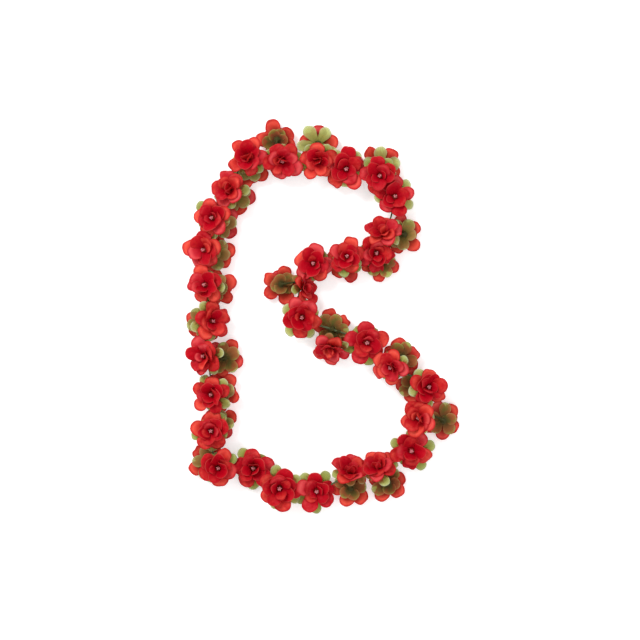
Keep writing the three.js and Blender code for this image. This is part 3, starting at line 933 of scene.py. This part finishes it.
def petal_material():
    material, tree, out = new_material("petal_red")
    mottle = noise(tree, 170, 4)
    vein = veins(tree, 30, 1.6)
    colour = petal_colour(tree, mottle, vein)
    weave = noise(tree, 2400, 2)
    rough = ranged(tree, mottle, 0.3, 0.7, 0.34, 0.52)
    height = plus(tree, times(tree, vein, -0.6), times(tree, weave, 0.35))
    normal = bumped(tree, height, 0.45, FINE_BUMP)
    solid = principled(tree, colour, rough, normal, Specular_IOR_Level=0.07, Sheen_Weight=0.015,
                       Sheen_Roughness=0.4, Sheen_Tint=RED_SHEEN)
    let_through(tree, solid, mixed(tree, 0.4, colour, RED_GLOW), 0.3, out)
    return material


def sepal_colour(tree, mottle, vein):
    """Green where a sepal stands free, paler at the rim, partly its own colour and partly painted light
    through the thin edge. Over petals, olive and red-brown: painted red light through the sepal and
    painted shade. Darker on stalks.
    """
    along, tone, pale = (attribute(tree, name) for name in ("along", "tone", "hue"))
    # Darker towards the base. The pale rim is partly the sepal's own colour and partly painted light
    # through the thin edge.
    free = ramp(tree, along, [(0, (0.16, 0.16, 0.02)), (0.45, (0.32, 0.32, 0.05)),
                              (0.8, (0.48, 0.49, 0.12)), (0.93, (0.56, 0.58, 0.22)),
                              (1, (0.70, 0.73, 0.46))])
    free = mixed(tree, times(tree, tone, 0.6), free, LEAF_GREEN)
    light = ramp(tree, along, [(0, (0.30, 0.31, 0.06)), (0.4, (0.46, 0.48, 0.11)),
                               (0.85, (0.62, 0.65, 0.24)), (1, (0.74, 0.78, 0.50))])
    free = mixed(tree, pale, free, light)
    # Painted light and shade over petals: olive and red-brown, as red light coming through the sepal,
    # darker towards the base in the petals' shade.
    olive_see_through = ramp(tree, along, [(0, (0.030, 0.020, 0.005)), (0.35, (0.095, 0.050, 0.010)),
                               (0.65, (0.17, 0.095, 0.016)), (0.88, (0.33, 0.21, 0.034)),
                               (1, (0.45, 0.37, 0.11))])
    red_brown_see_through = ramp(tree, along, [(0, (0.045, 0.013, 0.005)), (0.35, (0.17, 0.028, 0.010)),
                               (0.65, (0.33, 0.045, 0.018)), (0.88, (0.42, 0.085, 0.03)),
                               (1, (0.47, 0.22, 0.07))])
    brown = mixed(tree, ranged(tree, noise(tree, 120, 2), 0.38, 0.52), olive_see_through, red_brown_see_through)
    # Paler calyxes show less of the painted see-through colour.
    over = plus(tree, attribute(tree, "over_red"), times(tree, mottle, 0.3))
    cover = minus(tree, 0.96, times(tree, pale, 0.8))
    colour = mixed(tree, times(tree, ranged(tree, over, 0.25, 1.05), cover), free, brown)
    stalk = mixed(tree, mottle, DARK_STALK, LIGHT_STALK)
    colour = mixed(tree, attribute(tree, "stem"), colour, stalk)
    colour = mixed(tree, attribute(tree, "back"), colour, HEART_RED)
    return mixed(tree, times(tree, vein, 0.38), colour, VEIN_GREEN)


def sepal_material():
    material, tree, out = new_material("sepal_green")
    mottle = noise(tree, 200, 4)
    vein = veins(tree, 22, 2.2)
    colour = sepal_colour(tree, mottle, vein)
    fine = noise(tree, 1800, 2)
    rough = ranged(tree, mottle, 0.3, 0.7, 0.5, 0.66)
    height = plus(tree, times(tree, vein, 0.7), times(tree, fine, 0.4))
    normal = bumped(tree, height, 0.5, FINE_BUMP)
    solid = principled(tree, colour, rough, normal, Specular_IOR_Level=0.16, Sheen_Weight=0.04,
                       Sheen_Roughness=0.5, Sheen_Tint=GREEN_SHEEN)
    let_through(tree, solid, mixed(tree, 0.3, colour, GREEN_GLOW), 0.32, out)
    return material


def stamen_material():
    material, tree, out = new_material("stamen_pink")
    along, tone = attribute(tree, "along"), attribute(tree, "tone")
    colour = ramp(tree, along, [(0, (0.42, 0.005, 0.02)), (0.6, (0.62, 0.06, 0.09)),
                                (1, (0.74, 0.25, 0.29))])
    dusty = mixed(tree, times(tree, tone, 0.4), colour, POLLEN)
    colour = mixed(tree, ranged(tree, along, 0.7, 1.0), colour, dusty)
    speck = noise(tree, 3200, 2)
    colour = mixed(tree, times(tree, speck, 0.3), colour, POLLEN_SPECK)
    normal = bumped(tree, speck, 0.5, FINER_BUMP)
    solid = principled(tree, colour, 0.62, normal, Specular_IOR_Level=0.3)
    tree.links.new(solid, out.inputs["Surface"])
    return material


def cord_material():
    material, tree, out = new_material("cord_green")
    fibre, broad = noise(tree, 2600, 4, 0.7), noise(tree, 120, 3)
    colour = mixed(tree, broad, DARK_CORD, LIGHT_CORD)
    colour = mixed(tree, ranged(tree, fibre, 0.5, 0.8), colour, CORD_FIBRE)
    rough = ranged(tree, fibre, 0.3, 0.7, 0.7, 0.9)
    normal = bumped(tree, fibre, 0.6, FINER_BUMP)
    solid = principled(tree, colour, rough, normal, Specular_IOR_Level=0.25, Sheen_Weight=0.3,
                       Sheen_Roughness=0.6)
    tree.links.new(solid, out.inputs["Surface"])
    return material


petal_red, sepal_green = petal_material(), sepal_material()
stamen_pink, cord_green = stamen_material(), cord_material()

# ---------------------------------------------------------------- the blossoms

FIRST_SEED = 4100


def keep(piece, slot, *nodes):
    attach(piece, "root")
    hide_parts(*nodes)


# The highest blossoms keep their form, and the ones that they lie on open round them.
for blossom in sorted(lei, key=lambda b: -b.middle[2]):
    rng = np.random.RandomState(FIRST_SEED + blossom.number)
    sepals = [settle(blossom, leaf, angle, "sepal", SEPAL_TRIES)
              for leaf, angle in sepal_leaves(blossom, rng)]
    petals, reds = make_petals(blossom, rng)
    calyx = make_calyx(blossom, rng, reds, sepals)
    stamens = make_stamens(blossom, rng)
    number = f"{blossom.number:02d}"
    node = f"blossom_{number}"
    keep(petals.mesh(f"petals_{number}", petal_red), "petal", node)
    keep(calyx.mesh(f"calyx_{number}", sepal_green), "sepal", node)
    keep(stamens.mesh(f"stamens_{number}", stamen_pink), "stamen", node)

# ---------------------------------------------------------------- the cord and its knot

CORD_STEP, CORD_SIDES, CORD_PLIES, CORD_PITCH = 0.75, 12, 3, 4.6
KNOT_STEPS, KNOT_SCALE, KNOT_STRAND, KNOT_PITCH = 90, 0.5, 0.78, 3.4
TAIL_STEPS, TAIL_START, TAIL_STRAND, TAIL_PITCH, TAIL_SWING = 14, 0.12, 0.8, 3.6, 0.5
FRAY_COUNT, FRAY_STEPS, FRAY_LENGTH, FRAY_SPREAD, FRAY_RADII = 5, 6, 1.9, 0.45, (0.26, 0.1)

cord = Heap()
strand = resampled(cord_path, step=CORD_STEP)
cord.add(*tube(strand, CORD_RADIUS, CORD_SIDES, CORD_PLIES, CORD_PITCH))
keep(cord.mesh("lei_cord", cord_green), "cord", "cord")

# An overhand knot, two tails that leave it, and the frayed end of each.
knot = Heap()
t = np.linspace(0, 2 * math.pi, KNOT_STEPS)
x, y = np.sin(t) + 2 * np.sin(2 * t), np.cos(t) - 2 * np.cos(2 * t)
wrap = knot_centre + np.column_stack([x, y, -1.25 * np.sin(3 * t)]) * KNOT_SCALE
knot.add(*tube(wrap, KNOT_STRAND, CORD_SIDES, CORD_PLIES, KNOT_PITCH))
for side in (-1, 1):
    way = np.array([-math.sin(side * TAIL_SWING), math.cos(side * TAIL_SWING), 0.0])
    t = np.linspace(TAIL_START, 1, TAIL_STEPS)[:, None]
    tail = knot_centre + way * KNOT_TAIL * t + np.array([side * 0.5, 0, -0.6]) * np.sin(t * math.pi)
    knot.add(*tube(tail, TAIL_STRAND, CORD_SIDES, CORD_PLIES, TAIL_PITCH))
    for i in range(FRAY_COUNT):
        fray = 2 * math.pi * i / FRAY_COUNT
        spread = np.array([FRAY_SPREAD * math.cos(fray), 0, FRAY_SPREAD * math.sin(fray)])
        t = np.linspace(0, 1, FRAY_STEPS)[:, None]
        strand = tail[-1] - way * 0.4 + way * FRAY_LENGTH * t + spread * (0.5 + 1.3 * t**2)
        knot.add(*tube(strand, np.linspace(*FRAY_RADII, FRAY_STEPS)))
keep(knot.mesh("lei_knot", cord_green), "cord", "cord_knot")

# ---------------------------------------------------------------- floor, light and camera, in metres

FLOOR_HALF, FLOOR_Z = 12.0, -0.0002
FLOOR_WHITE, FLOOR_GLOW = (0.86, 0.86, 0.86), 0.38
SKY_STRENGTH = 0.82
CAMERA_HEIGHT = 1.5
LENS, SENSOR = 83.4, 36  # in millimetres, as Blender takes them


def floor():
    material, tree, out = new_material("floor_white")
    solid = principled(tree, FLOOR_WHITE, 0.7, None, Specular_IOR_Level=0.2,
                       Emission_Color=(1.0, 1.0, 1.0), Emission_Strength=FLOOR_GLOW)
    tree.links.new(solid, out.inputs["Surface"])
    data = bpy.data.meshes.new("floor")
    signs = ((-1, -1), (1, -1), (1, 1), (-1, 1))
    corners = [(x * FLOOR_HALF, y * FLOOR_HALF, FLOOR_Z) for x, y in signs]
    data.from_pydata(corners, [], [(0, 1, 2, 3)])
    data.materials.append(material)
    plane = bpy.data.objects.new("floor", data)
    bpy.context.collection.objects.link(plane)


def lamp(name, place, size, power):
    """A round soft lamp that shines at the origin."""
    data = bpy.data.lights.new(name, "AREA")
    data.shape, data.size, data.energy = "DISK", size, power
    lit = bpy.data.objects.new(name, data)
    bpy.context.collection.objects.link(lit)
    lit.location = place
    lit.rotation_euler = (-Vector(place)).to_track_quat("-Z", "Y").to_euler()


floor()
lamp("soft_key", (-1.1, 1.2, 1.7), 0.8, 32)
lamp("soft_fill", (1.2, -0.9, 1.6), 1.4, 7)

world = bpy.data.worlds.new("studio")
world.use_nodes = True
world.node_tree.nodes["Background"].inputs["Color"].default_value = (1, 1, 1, 1)
world.node_tree.nodes["Background"].inputs["Strength"].default_value = SKY_STRENGTH
bpy.context.scene.world = world

view = bpy.context.scene.view_settings
view.view_transform = "Standard"
view.look = "None"

# The camera looks straight down at the photograph's middle.
data = bpy.data.cameras.new("camera")
data.lens, data.sensor_width = LENS, SENSOR
camera = bpy.data.objects.new("camera", data)
bpy.context.collection.objects.link(camera)
camera.location = ((PHOTO_MIDDLE - PLAN_X) * MM, (PLAN_Y - PHOTO_MIDDLE) * MM, CAMERA_HEIGHT)
camera.rotation_euler = (0, 0, 0)
bpy.context.scene.camera = camera
